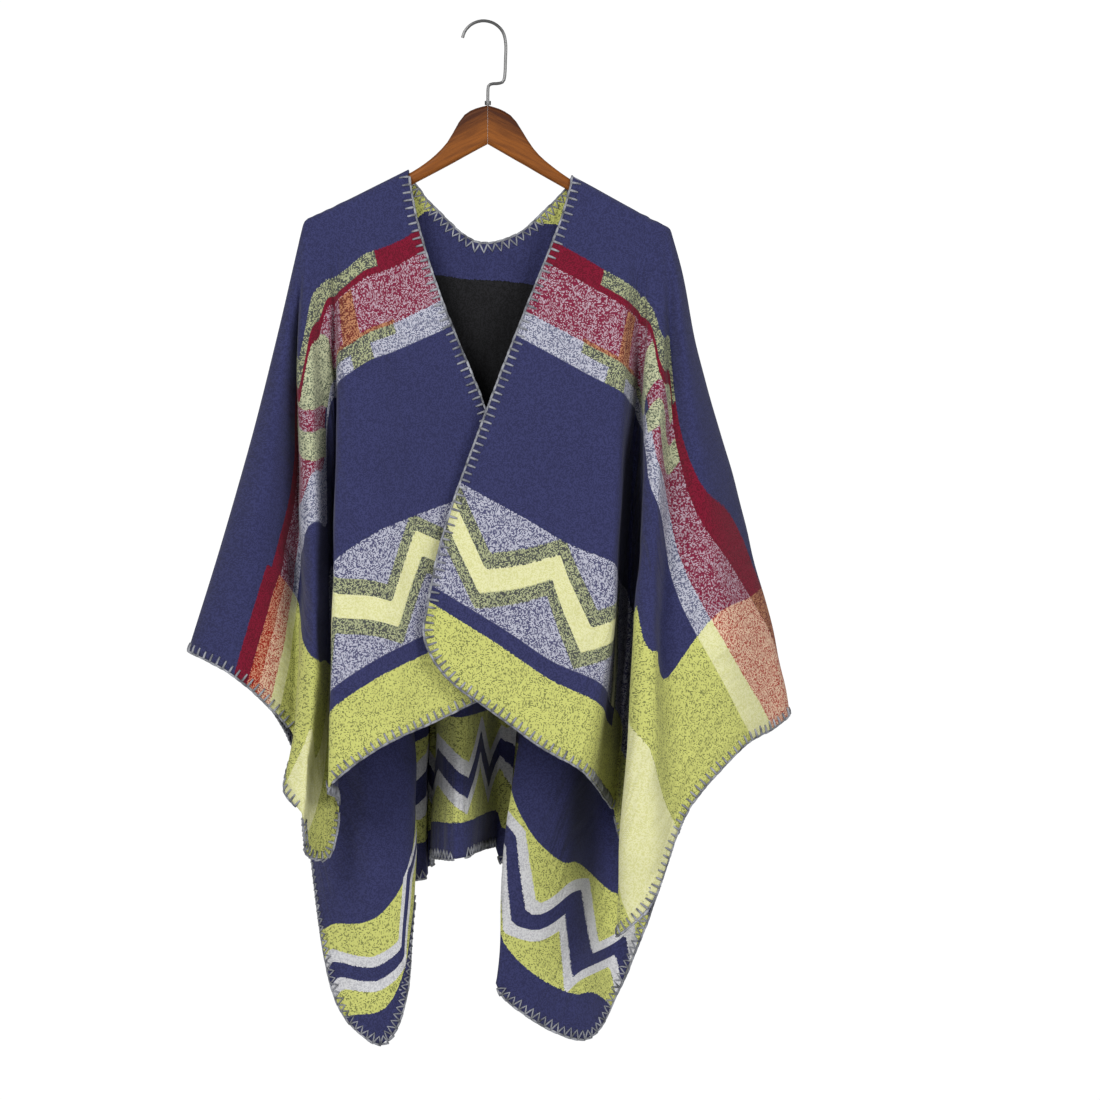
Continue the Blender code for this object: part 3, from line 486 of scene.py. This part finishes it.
# yarn mixes: light yarn, dark yarn, share of the light one
YARNS = {
    "navy": ("3b3e6c", "2f3159", 0.5),
    "red": ("860f30", "6c0a25", 0.55),
    "pink": ("c4acba", "85203f", 0.34),
    "grey": ("cccddb", "6c6f8a", 0.56),
    "olive": ("b6bb90", "4f5250", 0.46),
    "pale olive": ("cdd1ab", "6d7460", 0.6),
    "lime": ("dadd7e", "868a50", 0.74),
    "yellow": ("f3f2bd", "e4e39f", 0.6),
    "slate": ("c6c7d6", "56577a", 0.5),
    "orange": ("c48a64", "78322a", 0.48),
    "rust": ("e0a080", "a82a1c", 0.42),
    "salmon": ("f6d2b4", "b64e40", 0.54),
    "white": ("e6e6e8", "c9c9ce", 0.6),
    "black": ("232326", "141416", 0.5),
}
RETURNED = 0.62  # share of the light that the yarns return
ROWS_A_METRE, FLOATS_A_METRE, DEEP_A_METRE = 880.0, 940.0, 500.0  # cells of the weave
SIDESTEP = 0.38  # of a float, from one row to the next
DRIFT = 3.0  # rows by which the weave wanders
RAGGED = 0.12  # cm by which a patch's edge is uneven
MIX_EDGE = 0.12  # how softly one yarn gives way to the other
CLOUDY = 0.36  # how far the chance of a light yarn varies from spot to spot

# patches of the outer face: yarns, across from and to, down from and to (cm on the flat cut); both
# sides have them alike, but for those with minus signs, which only one side has
OUTER_PATCHES = (
    ("red", 0, 76, 7.3, 9.7),
    ("olive", 15.5, 37.5, 7.3, 8.95),
    ("pink", 0, 76, 9.7, 15.3),
    ("orange", 19.6, 22.1, 9.8, 15.3),
    ("orange", 15.2, 24.0, 14.9, 15.3),
    ("pale olive", 32.5, 38.8, 9.7, 16.6),
    ("pale olive", 40.8, 43.4, 9.7, 16.6),
    ("grey", 0, 32.5, 15.3, 18.1),
    ("grey", 32.5, 76, 16.6, 18.1),
    ("grey", 43.4, 76, 15.3, 18.1),
    ("olive", 15.4, 32.5, 15.3, 16.4),
    ("olive", 18.7, 21.4, 16.4, 18.1),
    ("slate", 0, 61, 34.9, 46.6),
    ("navy", 0, 36, 46.6, 48.4),
    ("lime", 36, 61, 46.6, 48.4),
    ("lime", 0, 61, 48.4, 76),
    ("orange", 61, 76, 7.3, 9.7),
    ("red", -76, -61, 6.6, 9.2),
    ("salmon", 61, 76, 9.7, 15.3),
    ("rust", -76, -61, 9.2, 11.6),
    ("yellow", 61, 76, 15.3, 18.1),
    ("lime", 61, 76, 18.1, 34.9),
    ("yellow", 61, 76, 34.9, 46.5),
    ("lime", 61, 76, 46.5, 76),
)
# patches of the inner face
INNER_PATCHES = (
    ("lime", 0, 76, 0, 6.8),
    ("black", 0, 76, 13.6, 30),
    ("lime", 0, 76, 60, 71.2),
    ("navy", 0, 76, 71.2, 76),
)
# zigzags: the places down (front plus, back minus) between which they lie, their corners as places
# across and down, and their yarns by distance from the line
OUTER_CORNERS = (
    (0, 38.0), (3.6, 43.2), (6.6, 33.8), (13.3, 43.2), (19.5, 37.6), (24.3, 43.3), (30.8, 38.5),
    (38, 52.5), (76, 60),
)
INNER_CORNERS = (
    (-76, 66), (-73.2, 65.2), (-66, 68.6), (-59.6, 60.8), (-55, 66), (-49.5, 62), (-44, 65.6),
    (-38, 65.9), (-32, 63.4), (-26, 67), (-20, 63), (-14, 67.4), (-8.5, 64.6), (3, 67.7),
    (7.5, 63), (12.5, 67.5), (18, 62.8), (24, 67), (30, 62.5), (36, 67), (42, 62), (48, 66.8),
    (54.5, 63.2), (60.2, 67.9), (65.3, 63.4), (70, 68.8), (72.6, 64.6), (76, 68),
)
OUTER_BANDS = (("olive", -3.15, 3.15), ("yellow", -1.35, 1.35))
INNER_BANDS = (("white", -2.75, 2.75), ("navy", -1.1, 1.1))
OUTER_ZIGZAGS = (
    (34.9, 46.6, OUTER_CORNERS, OUTER_BANDS), (-46.6, -34.9, OUTER_CORNERS, OUTER_BANDS),
)
INNER_ZIGZAGS = ((-71.2, -59.5, INNER_CORNERS, INNER_BANDS),)


def patch_group():
    """Lays one woven patch over what is there: inside its edges its own two yarns show."""
    group = bpy.data.node_groups.new("woven patch", "ShaderNodeTree")
    for way, name, kind in (
        ("INPUT", "Place", "Vector"), ("INPUT", "From", "Vector"), ("INPUT", "To", "Vector"),
        ("INPUT", "Light yarn", "Color"), ("INPUT", "Dark yarn", "Color"),
        ("INPUT", "Share", "Float"), ("INPUT", "New light", "Color"),
        ("INPUT", "New dark", "Color"), ("INPUT", "New share", "Float"),
        ("OUTPUT", "Light", "Color"), ("OUTPUT", "Dark", "Color"), ("OUTPUT", "Share", "Float"),
    ):
        group.interface.new_socket(name, in_out=way, socket_type="NodeSocket" + kind)
    given, found = group.nodes.new("NodeGroupInput"), group.nodes.new("NodeGroupOutput")
    inside = vector_calc(
        group, "MINIMUM",
        vector_calc(group, "SUBTRACT", given.outputs["Place"], given.outputs["From"]),
        vector_calc(group, "SUBTRACT", given.outputs["To"], given.outputs["Place"]),
    )
    mask = calc(group, "GREATER_THAN", calc(group, "MINIMUM", *apart(group, inside)[:2]), 0.0)
    for k, old, new in ((0, "Light yarn", "New light"), (1, "Dark yarn", "New dark")):
        yarn = blended(group, mask, given.outputs[old], given.outputs[new])
        group.links.new(yarn, found.inputs[k])
    change = calc(group, "SUBTRACT", given.outputs["New share"], given.outputs["Share"])
    share = calc(group, "MULTIPLY_ADD", change, mask, given.outputs["Share"])
    group.links.new(share, found.inputs[2])
    return group


PATCH = patch_group()


def laid(tree, place, yarns, mix, low, high):
    """The yarns after one more patch."""
    step = tree.nodes.new("ShaderNodeGroup")
    step.node_tree = PATCH
    light, dark, share = YARNS[mix]
    new = (tint(light, RETURNED), tint(dark, RETURNED), share)
    for value, socket in zip((place, low, high, *yarns, *new), step.inputs):
        joined(tree, value, socket)
    return step.outputs[:3]


def zigzag_line(tree, across, corners):
    """How far down a zigzag lies at each place across, straight from corner to corner."""
    step = tree.nodes.new("ShaderNodeFloatCurve")
    curve = step.mapping.curves[0]
    first, last = corners[0][0], corners[-1][0]
    found = [((at - first) / (last - first), down / 100) for at, down in corners]
    curve.points[0].location, curve.points[1].location = found[0], found[-1]
    for place in found[1:-1]:
        curve.points.new(*place)
    for point in curve.points:
        point.handle_type = "VECTOR"
    step.mapping.update()
    share = calc(tree, "MULTIPLY_ADD", across, 1 / (last - first), -first / (last - first))
    joined(tree, share, step.inputs["Value"])
    return calc(tree, "MULTIPLY", step.outputs[0], 100.0)


def yarn_cells(tree, coordinates):
    """A chance and a height for each short float of yarn, in rows that step sideways like twill."""
    x, y, z = apart(tree, coordinates)
    drift = calc(tree, "MULTIPLY", noise(tree, coordinates, 45.0, 1.0), DRIFT)
    row = calc(tree, "MULTIPLY_ADD", z, ROWS_A_METRE, drift)
    slanted = calc(tree, "MULTIPLY_ADD", y, 0.6, x)
    along = calc(tree, "MULTIPLY_ADD", slanted, FLOATS_A_METRE, drift)
    along = calc(tree, "MULTIPLY_ADD", calc(tree, "FLOOR", row), SIDESTEP, along)
    deep = calc(tree, "MULTIPLY", y, DEEP_A_METRE)
    chance = tree.nodes.new("ShaderNodeTexWhiteNoise")
    chance.noise_dimensions = "3D"
    cell = together(tree, *(calc(tree, "FLOOR", value) for value in (along, row, deep)))
    tree.links.new(cell, chance.inputs["Vector"])
    over_row = calc(tree, "SINE", calc(tree, "MULTIPLY", calc(tree, "FRACT", row), math.pi))
    over_float = calc(tree, "SINE", calc(tree, "MULTIPLY", calc(tree, "FRACT", along), math.pi))
    return chance.outputs["Value"], calc(tree, "SQRT", calc(tree, "MULTIPLY", over_row, over_float))


def cloth_material(name, patches, zigzags):
    """One face of the cloth: navy, with patches and then zigzags laid over it, and painted shade between
    the floats.
    """
    made, tree, shader = new_material(name, roughness=0.95, specular=0.12)
    coordinates = tree.nodes.new("ShaderNodeTexCoord").outputs["Object"]
    cut = tree.nodes.new("ShaderNodeUVMap")
    cut.uv_map = "cut"
    # cm on the flat cut, across from its middle and down from the shoulder line
    across, down = (
        calc(tree, "MULTIPLY_ADD", value, PANEL / CM, -PANEL / CM / 2)
        for value in apart(tree, cut.outputs[0])[:2]
    )
    wrinkles = noise(tree, together(tree, across, calc(tree, "MULTIPLY", down, 0.16)), 0.55)
    chance, height = yarn_cells(tree, coordinates)
    ragged = calc(tree, "MULTIPLY_ADD", chance, RAGGED, -RAGGED / 2)
    across, down = calc(tree, "ADD", across, ragged), calc(tree, "ADD", down, ragged)
    far_across, far_down = calc(tree, "ABSOLUTE", across), calc(tree, "ABSOLUTE", down)
    both_sides, one_side = together(tree, far_across, far_down), together(tree, across, far_down)
    light, dark, share = YARNS["navy"]
    yarns = (tint(light, RETURNED), tint(dark, RETURNED), share)
    for mix, left, right, top, bottom in patches:
        where = one_side if left < 0 else both_sides
        yarns = laid(tree, where, yarns, mix, (left, top, -1), (right, bottom, 1))
    for low, high, corners, bands in zigzags:
        line = zigzag_line(tree, across if corners[0][0] < 0 else far_across, corners)
        lane = together(tree, calc(tree, "SUBTRACT", far_down, line), down)
        for mix, near, far in bands:
            yarns = laid(tree, lane, yarns, mix, (near, low, -1), (far, high, 1))
    clouds = noise(tree, coordinates, 480.0, 1.0)
    cloudy = calc(tree, "MULTIPLY_ADD", clouds, CLOUDY, -CLOUDY / 2)
    chosen = tree.nodes.new("ShaderNodeMapRange")
    chosen.interpolation_type = "SMOOTHSTEP"
    tree.links.new(calc(tree, "ADD", chance, cloudy), chosen.inputs["Value"])
    dark_share = calc(tree, "SUBTRACT", 1.0, yarns[2])
    tree.links.new(calc(tree, "SUBTRACT", dark_share, MIX_EDGE), chosen.inputs["From Min"])
    tree.links.new(calc(tree, "ADD", dark_share, MIX_EDGE), chosen.inputs["From Max"])
    colour = blended(tree, chosen.outputs[0], yarns[1], yarns[0])
    # painted shade between the floats, and a little uneven all over
    between = calc(tree, "MULTIPLY_ADD", height, 0.28, 0.76)
    uneven = calc(tree, "MULTIPLY_ADD", noise(tree, coordinates, 24.0, 3.0), 0.16, 0.92)
    colour = blended(tree, 1.0, colour, calc(tree, "MULTIPLY", between, uneven), "MULTIPLY")
    tree.links.new(colour, shader.inputs["Base Color"])
    shader.inputs["Sheen Weight"].default_value = 0.06
    shader.inputs["Sheen Roughness"].default_value = 0.6
    wrinkled = bump(tree, wrinkles, strength=0.8, distance=0.006)
    woven = bump(tree, height, strength=0.5, distance=0.0004, normal=wrinkled)
    tree.links.new(woven, shader.inputs["Normal"])
    return made


ruana.data.materials.append(cloth_material("woven_cloth_outer", OUTER_PATCHES, OUTER_ZIGZAGS))
ruana.data.materials.append(cloth_material("woven_cloth_inner", INNER_PATCHES, INNER_ZIGZAGS))

wall = ruana.modifiers.new("wall", "SOLIDIFY")
wall.thickness = CLOTH_WALL
wall.offset = 0
wall.use_even_offset = False
wall.material_offset = 1
wall.material_offset_rim = 0
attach(ruana, "root")
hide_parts("front_right", "back", "front_left")

# ---------------------------------------------------------------------------------------------
# The blanket stitches round every edge of the cloth: thick grey yarn that lies along the edge,
# comes up as short strokes on the outer face and runs as a zigzag on the inner one.
# ---------------------------------------------------------------------------------------------
PITCH = 0.0083  # from stitch to stitch
REACH = 0.0086  # how far a stitch reaches in from the edge
YARN = 0.00118  # radius of the yarn
INSIDE = 3  # columns or rows in from the edge that show which way the cloth lies
STRAIGHT, LEVEL = 0.75, 0.45  # no stitch where the edge turns, or the cloth tips, more than this

# the line of the cloth's edge: down the right front's edge, along the hem and both side edges, up
# the left front's edge and round the neck
edge_at = [(0, j) for j in range(ROWS)] + [(i, ROWS - 1) for i in range(1, COLUMNS)]
edge_at += [(COLUMNS - 1, j) for j in range(ROWS - 2, -1, -1)]
edge_at += [(i, 0) for i in range(COLUMNS - 2 - 2 * SIDE, 2 * SIDE, -1)]


def further_in(i, j):
    """The place on the cloth's grid next to an edge place, inside the cloth."""
    if j == ROWS - 1:
        return min(max(i, INSIDE), COLUMNS - 1 - INSIDE), j - INSIDE
    if i in (0, COLUMNS - 1):
        return (INSIDE if i == 0 else COLUMNS - 1 - INSIDE), j
    return i, INSIDE + 1


edge_points = np.array([number[int(point_of[i, j])] for i, j in edge_at])
inner_points = np.array([number[int(point_of[further_in(i, j)])] for i, j in edge_at])
edge_xyz, inner_xyz, edge_normal = (
    np.vstack([x, x[:1]])
    for x in (cloth_xyz[edge_points], cloth_xyz[inner_points], normals[edge_points])
)
edge_length = np.concatenate([[0], np.cumsum(np.linalg.norm(np.diff(edge_xyz, axis=0), axis=1))])
stitch_count = round(edge_length[-1] / PITCH)
stitch_at = (np.arange(stitch_count) + 0.5) / stitch_count * edge_length[-1]


def along_edge(values, at):
    """Values of the edge's points, at lengths along the edge."""
    at = at % edge_length[-1]
    return np.stack([np.interp(at, edge_length, values[:, k]) for k in range(3)], axis=1)


def unit(vectors):
    """The same directions, all 1 long."""
    return vectors / np.maximum(np.linalg.norm(vectors, axis=1), 1e-9)[:, None]


after = unit(along_edge(edge_xyz, stitch_at + PITCH) - along_edge(edge_xyz, stitch_at))
before = unit(along_edge(edge_xyz, stitch_at) - along_edge(edge_xyz, stitch_at - PITCH))
normal_after = unit(along_edge(edge_normal, stitch_at + PITCH))
normal_before = unit(along_edge(edge_normal, stitch_at - PITCH))
straight = (after * before).sum(axis=1) > STRAIGHT
level = (normal_after * normal_before).sum(axis=1) > LEVEL
stitch_at = stitch_at[straight & level]
stitch_xyz = along_edge(edge_xyz, stitch_at)
run = unit(along_edge(edge_xyz, stitch_at + PITCH) - along_edge(edge_xyz, stitch_at - PITCH))
inward = along_edge(inner_xyz, stitch_at) - stitch_xyz
inward = unit(inward - run * (inward * run).sum(axis=1)[:, None])
facing = np.cross(run, inward)
facing *= np.sign((facing * along_edge(edge_normal, stitch_at)).sum(axis=1))[:, None]
stitches = mesh_piece("blanket_stitches", stitch_xyz, [], smooth=False)
for name, values in (("inward", inward), ("facing", facing)):
    field = stitches.data.attributes.new(name, "FLOAT_VECTOR", "POINT")
    field.data.foreach_set("vector", values.astype(np.float32).ravel())


def yarn_run(path, radii, sides=6):
    """Points and faces of a piece of yarn along a path."""
    path = np.array(path)
    ahead = unit(np.gradient(path, axis=0))
    aside = unit(np.cross(ahead, (0, 0, 1)))
    above = np.cross(aside, ahead)
    points, faces = [], []
    for k in range(len(path)):
        for corner in range(sides):
            angle = 2 * math.pi * corner / sides
            round_it = math.cos(angle) * aside[k] + math.sin(angle) * above[k]
            points.append(path[k] + radii[k] * round_it)
    for first in range(0, (len(path) - 1) * sides, sides):
        for corner in range(sides):
            a, b = first + corner, first + (corner + 1) % sides
            faces.append([a, b, b + sides, a + sides])
    faces.append(list(range(sides))[::-1])
    faces.append([(len(path) - 1) * sides + corner for corner in range(sides)])
    return points, faces


def one_stitch():
    """One stitch with its foot at the edge: +X into the cloth, +Z out of the outer face."""
    up, low = CLOTH_WALL / 2 + 0.6 * YARN, -CLOTH_WALL / 2 - 0.35 * YARN
    # each run: its points, and the yarn's radius there as shares of the usual one
    stroke = (
        [(-0.8 * YARN, 0, 0.2 * up), (0.0006, 0, up), (0.55 * REACH, 0, up * 1.12),
         (REACH, 0, 0.75 * up)],
        (0.8, 1.15, 1.0, 0.75),
    )
    along_hem = (
        [(-YARN, y * PITCH, 0) for y in (-0.08, 0.25, 0.75, 1.08)],
        (0.9, 1.2, 1.2, 0.9),
    )
    under = (
        [(x * REACH, y * PITCH, low)
         for x, y in ((-0.08, 0), (0.5, 0.25), (1, 0.5), (0.5, 0.75), (-0.08, 1))],
        (0.7, 0.8, 0.85, 0.8, 0.7),
    )
    points, faces = [], []
    for path, shares in (stroke, along_hem, under):
        more_points, more_faces = yarn_run(path, [share * YARN for share in shares])
        faces += [[k + len(points) for k in face] for face in more_faces]
        points += more_points
    return points, faces


def yarn_material(name):
    """Grey yarn, lighter and darker along its length and from ply to ply."""
    made, tree, shader = new_material(name, roughness=0.9, specular=0.15)
    coordinates = tree.nodes.new("ShaderNodeTexCoord").outputs["Object"]
    plies = calc(tree, "MULTIPLY", noise(tree, coordinates, 700.0, 1.0), 0.5)
    lengths = noise(tree, coordinates, 110.0, 1.0)
    light = calc(tree, "MULTIPLY_ADD", lengths, 1.5, calc(tree, "SUBTRACT", plies, 0.5))
    colour = blended(tree, light, tint("42444c", RETURNED), tint("bcbec6", RETURNED))
    tree.links.new(colour, shader.inputs["Base Color"])
    return made


SHORTEST, UNEVEN, SEED = 0.88, 0.26, 4  # a stitch's least reach, what chance adds, and its seed


def stitch_nodes():
    """Sets one stitch on each guide point, turned to the edge, each a little uneven."""
    group = bpy.data.node_groups.new("blanket stitching", "GeometryNodeTree")
    for way, name, kind in (
        ("INPUT", "Guide", "Geometry"), ("INPUT", "Stitch", "Object"),
        ("INPUT", "Yarn", "Material"), ("INPUT", "Uneven", "Float"), ("INPUT", "Seed", "Int"),
        ("OUTPUT", "Stitches", "Geometry"),
    ):
        group.interface.new_socket(name, in_out=way, socket_type="NodeSocket" + kind)
    given, found = group.nodes.new("NodeGroupInput"), group.nodes.new("NodeGroupOutput")
    turned = None
    for axis, name in (("X", "inward"), ("Z", "facing")):
        field = group.nodes.new("GeometryNodeInputNamedAttribute")
        field.data_type = "FLOAT_VECTOR"
        field.inputs["Name"].default_value = name
        align = group.nodes.new("FunctionNodeAlignRotationToVector")
        align.axis = axis
        if turned is not None:
            align.pivot_axis = "X"
            group.links.new(turned, align.inputs["Rotation"])
        group.links.new(field.outputs["Attribute"], align.inputs["Vector"])
        turned = align.outputs["Rotation"]
    chance = group.nodes.new("FunctionNodeRandomValue")
    chance.data_type = "FLOAT"
    group.links.new(given.outputs["Seed"], chance.inputs["Seed"])
    reach = calc(group, "MULTIPLY_ADD", chance.outputs[1], given.outputs["Uneven"], SHORTEST)
    held = group.nodes.new("GeometryNodeObjectInfo")
    group.links.new(given.outputs["Stitch"], held.inputs["Object"])
    each = group.nodes.new("GeometryNodeInstanceOnPoints")
    group.links.new(given.outputs["Guide"], each.inputs["Points"])
    group.links.new(held.outputs["Geometry"], each.inputs["Instance"])
    group.links.new(turned, each.inputs["Rotation"])
    group.links.new(together(group, reach, 1.0, 1.0), each.inputs["Scale"])
    real = group.nodes.new("GeometryNodeRealizeInstances")
    group.links.new(each.outputs[0], real.inputs[0])
    coloured = group.nodes.new("GeometryNodeSetMaterial")
    group.links.new(real.outputs[0], coloured.inputs["Geometry"])
    group.links.new(given.outputs["Yarn"], coloured.inputs["Material"])
    group.links.new(coloured.outputs[0], found.inputs[0])
    return group


stitch_form = mesh_piece("one_stitch", *one_stitch())
sewn = stitches.modifiers.new("sewing", "NODES")
sewn.node_group = stitch_nodes()
sockets = {item.name: item.identifier for item in sewn.node_group.interface.items_tree}
sewn[sockets["Stitch"]] = stitch_form
sewn[sockets["Yarn"]] = yarn_material("grey_stitch_yarn")
sewn[sockets["Uneven"]] = UNEVEN
sewn[sockets["Seed"]] = SEED
worked_out = stitches.evaluated_get(bpy.context.evaluated_depsgraph_get())
finished = bpy.data.meshes.new_from_object(worked_out)
stitches.modifiers.clear()
stitches.data = finished
finished.shade_smooth()
bpy.data.objects.remove(stitch_form)
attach(stitches, "root")

# ---------------------------------------------------------------------------------------------
# The hanger: two arms of dark-stained, varnished wood, joined in the middle with a thin line of
# dark glue. The grain runs down each arm, and painted shade makes the wood darkest at the top.
# ---------------------------------------------------------------------------------------------
JOINT = 0.0048  # x of the joint between the arms
SLOPE = 0.5  # how steeply the arms fall away from it
LOWER_EDGE = 0.131  # how far below the origin the arms' lower edge starts
SHADE_FROM = 0.016  # above that edge, where the painted shade begins to darken the wood
GRAIN = (22.0, 260.0, 120.0)  # streaks a metre: along an arm, up it and through it
WOOD_RETURNED = 0.6  # share of the light that the wood returns
GLUE_HALF_WIDTH, GLUE_HALF_DEPTH, GLUE_ENDS = 0.00004, 0.0036, (-0.1298, -0.0904)


def wood_material(name):
    """Stained wood with its grain along each arm, whichever side of the joint it is on, and painted shade
    that darkens it towards the top.
    """
    made, tree, shader = new_material(name, roughness=0.5, specular=0.12)
    x, y, z = apart(tree, tree.nodes.new("ShaderNodeTexCoord").outputs["Object"])
    away = calc(tree, "ABSOLUTE", calc(tree, "SUBTRACT", x, JOINT))
    raised = calc(tree, "ADD", calc(tree, "MULTIPLY_ADD", away, SLOPE, z), LOWER_EDGE)
    lengthwise = calc(tree, "MULTIPLY_ADD", z, -SLOPE, away)
    streaks = together(tree, *(
        calc(tree, "MULTIPLY", value, scale) for value, scale in zip((lengthwise, raised, y), GRAIN)
    ))
    grain = calc(tree, "MULTIPLY_ADD", noise(tree, streaks, 1.0, 4.0, 0.6), 1.3, -0.1)
    # painted shade: the wood grows darker the higher it lies above the arms' lower edge
    high = calc(tree, "MAXIMUM", calc(tree, "SUBTRACT", raised, SHADE_FROM), 0.0)
    light = calc(tree, "SUBTRACT", grain, calc(tree, "MULTIPLY", high, 24.0))
    dark_brown, brown = tint("4a230d", WOOD_RETURNED), tint("a5601f", WOOD_RETURNED)
    tree.links.new(blended(tree, light, dark_brown, brown), shader.inputs["Base Color"])
    return made


def finish_node(name, finish):
    """Gives a piece of the solid part its material."""
    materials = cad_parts[name].data.materials
    materials.clear()
    materials.append(finish)


stained_wood = wood_material("stained_wood")
finish_node("arm_left", stained_wood)
finish_node("arm_right", stained_wood)
glue = mesh_piece(
    "glue_line",
    [
        (JOINT + x, y, z)
        for x in (-GLUE_HALF_WIDTH, GLUE_HALF_WIDTH)
        for y in (-GLUE_HALF_DEPTH, GLUE_HALF_DEPTH)
        for z in GLUE_ENDS
    ],
    [(0, 1, 3, 2), (4, 6, 7, 5), (0, 4, 5, 1), (2, 3, 7, 6), (0, 2, 6, 4), (1, 5, 7, 3)],
    smooth=False,
)
dark_glue, _, _ = new_material("dark_glue", roughness=0.8, colour=tint("2a160a", WOOD_RETURNED))
glue.data.materials.append(dark_glue)
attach(glue, "root")

# ---------------------------------------------------------------------------------------------
# The hook and its small collar: one bent steel wire, polished, that is pushed into the wood where
# the arms meet, and a turned steel ring that covers the hole.
# ---------------------------------------------------------------------------------------------
hook_steel, _, steel_shader = new_material("hook_steel", roughness=0.42, colour=(0.1, 0.1, 0.1, 1))
steel_shader.inputs["Metallic"].default_value = 1.0
finish_node("hook", hook_steel)
finish_node("ferrule", hook_steel)

# ---------------------------------------------------------------------------------------------
# The stage: a plain pale floor well below the hem, a white backdrop that glows by itself, soft
# light from the front left and right and from all round, and the camera.
# ---------------------------------------------------------------------------------------------
FLOOR_Z, BACK_Y = -1.9, 7
floor = mesh_piece(
    "floor", [(x, y, FLOOR_Z) for x, y in ((-4, -4), (4, -4), (4, 4), (-4, 4))], [(0, 1, 2, 3)]
)
pale_floor, _, _ = new_material("pale_floor", roughness=0.9, colour=(0.95, 0.95, 0.95, 1))
floor.data.materials.append(pale_floor)
backdrop = mesh_piece(
    "backdrop", [(x, BACK_Y, z) for x, z in ((-5, -6), (5, -6), (5, 5), (-5, 5))], [(0, 1, 2, 3)]
)
white_backdrop, _, white_shader = new_material("white_backdrop", 0.5, colour=(0, 0, 0, 1))
white_shader.inputs["Emission Color"].default_value = (1, 1, 1, 1)
white_shader.inputs["Emission Strength"].default_value = 1.0
backdrop.data.materials.append(white_backdrop)

world = bpy.data.worlds.new("studio")
world.use_nodes = True
world.node_tree.nodes["Background"].inputs["Color"].default_value = (1, 1, 1, 1)
world.node_tree.nodes["Background"].inputs["Strength"].default_value = 0.38
bpy.context.scene.world = world


def soft_light(name, place, aim, size, power):
    """A square lamp at a place, turned towards another."""
    lamp = bpy.data.lights.new(name, "AREA")
    lamp.shape = "SQUARE"
    lamp.size = size
    lamp.energy = power
    made = bpy.data.objects.new(name, lamp)
    made.location = place
    made.rotation_mode = "QUATERNION"
    made.rotation_quaternion = (Vector(aim) - Vector(place)).to_track_quat("-Z", "Y")
    bpy.context.scene.collection.objects.link(made)


soft_light("key", place=(-1.7, -3.4, 1.3), aim=(0, 0, -0.5), size=1.5, power=150)
soft_light("fill", place=(2.2, -3.0, 0.6), aim=(0, 0, -0.6), size=1.5, power=80)

# the camera stands level, where the folds were sighted from
camera = bpy.data.cameras.new("camera")
camera.sensor_width = 36.0
camera.lens = 121.8
eye = bpy.data.objects.new("camera", camera)
eye.location = (0.0718, -EYE * CM, -0.567)
eye.rotation_euler = (math.pi / 2, 0, 0)
bpy.context.scene.collection.objects.link(eye)
bpy.context.scene.camera = eye
bpy.context.scene.view_settings.view_transform = "Standard"

bpy.context.view_layer.update()
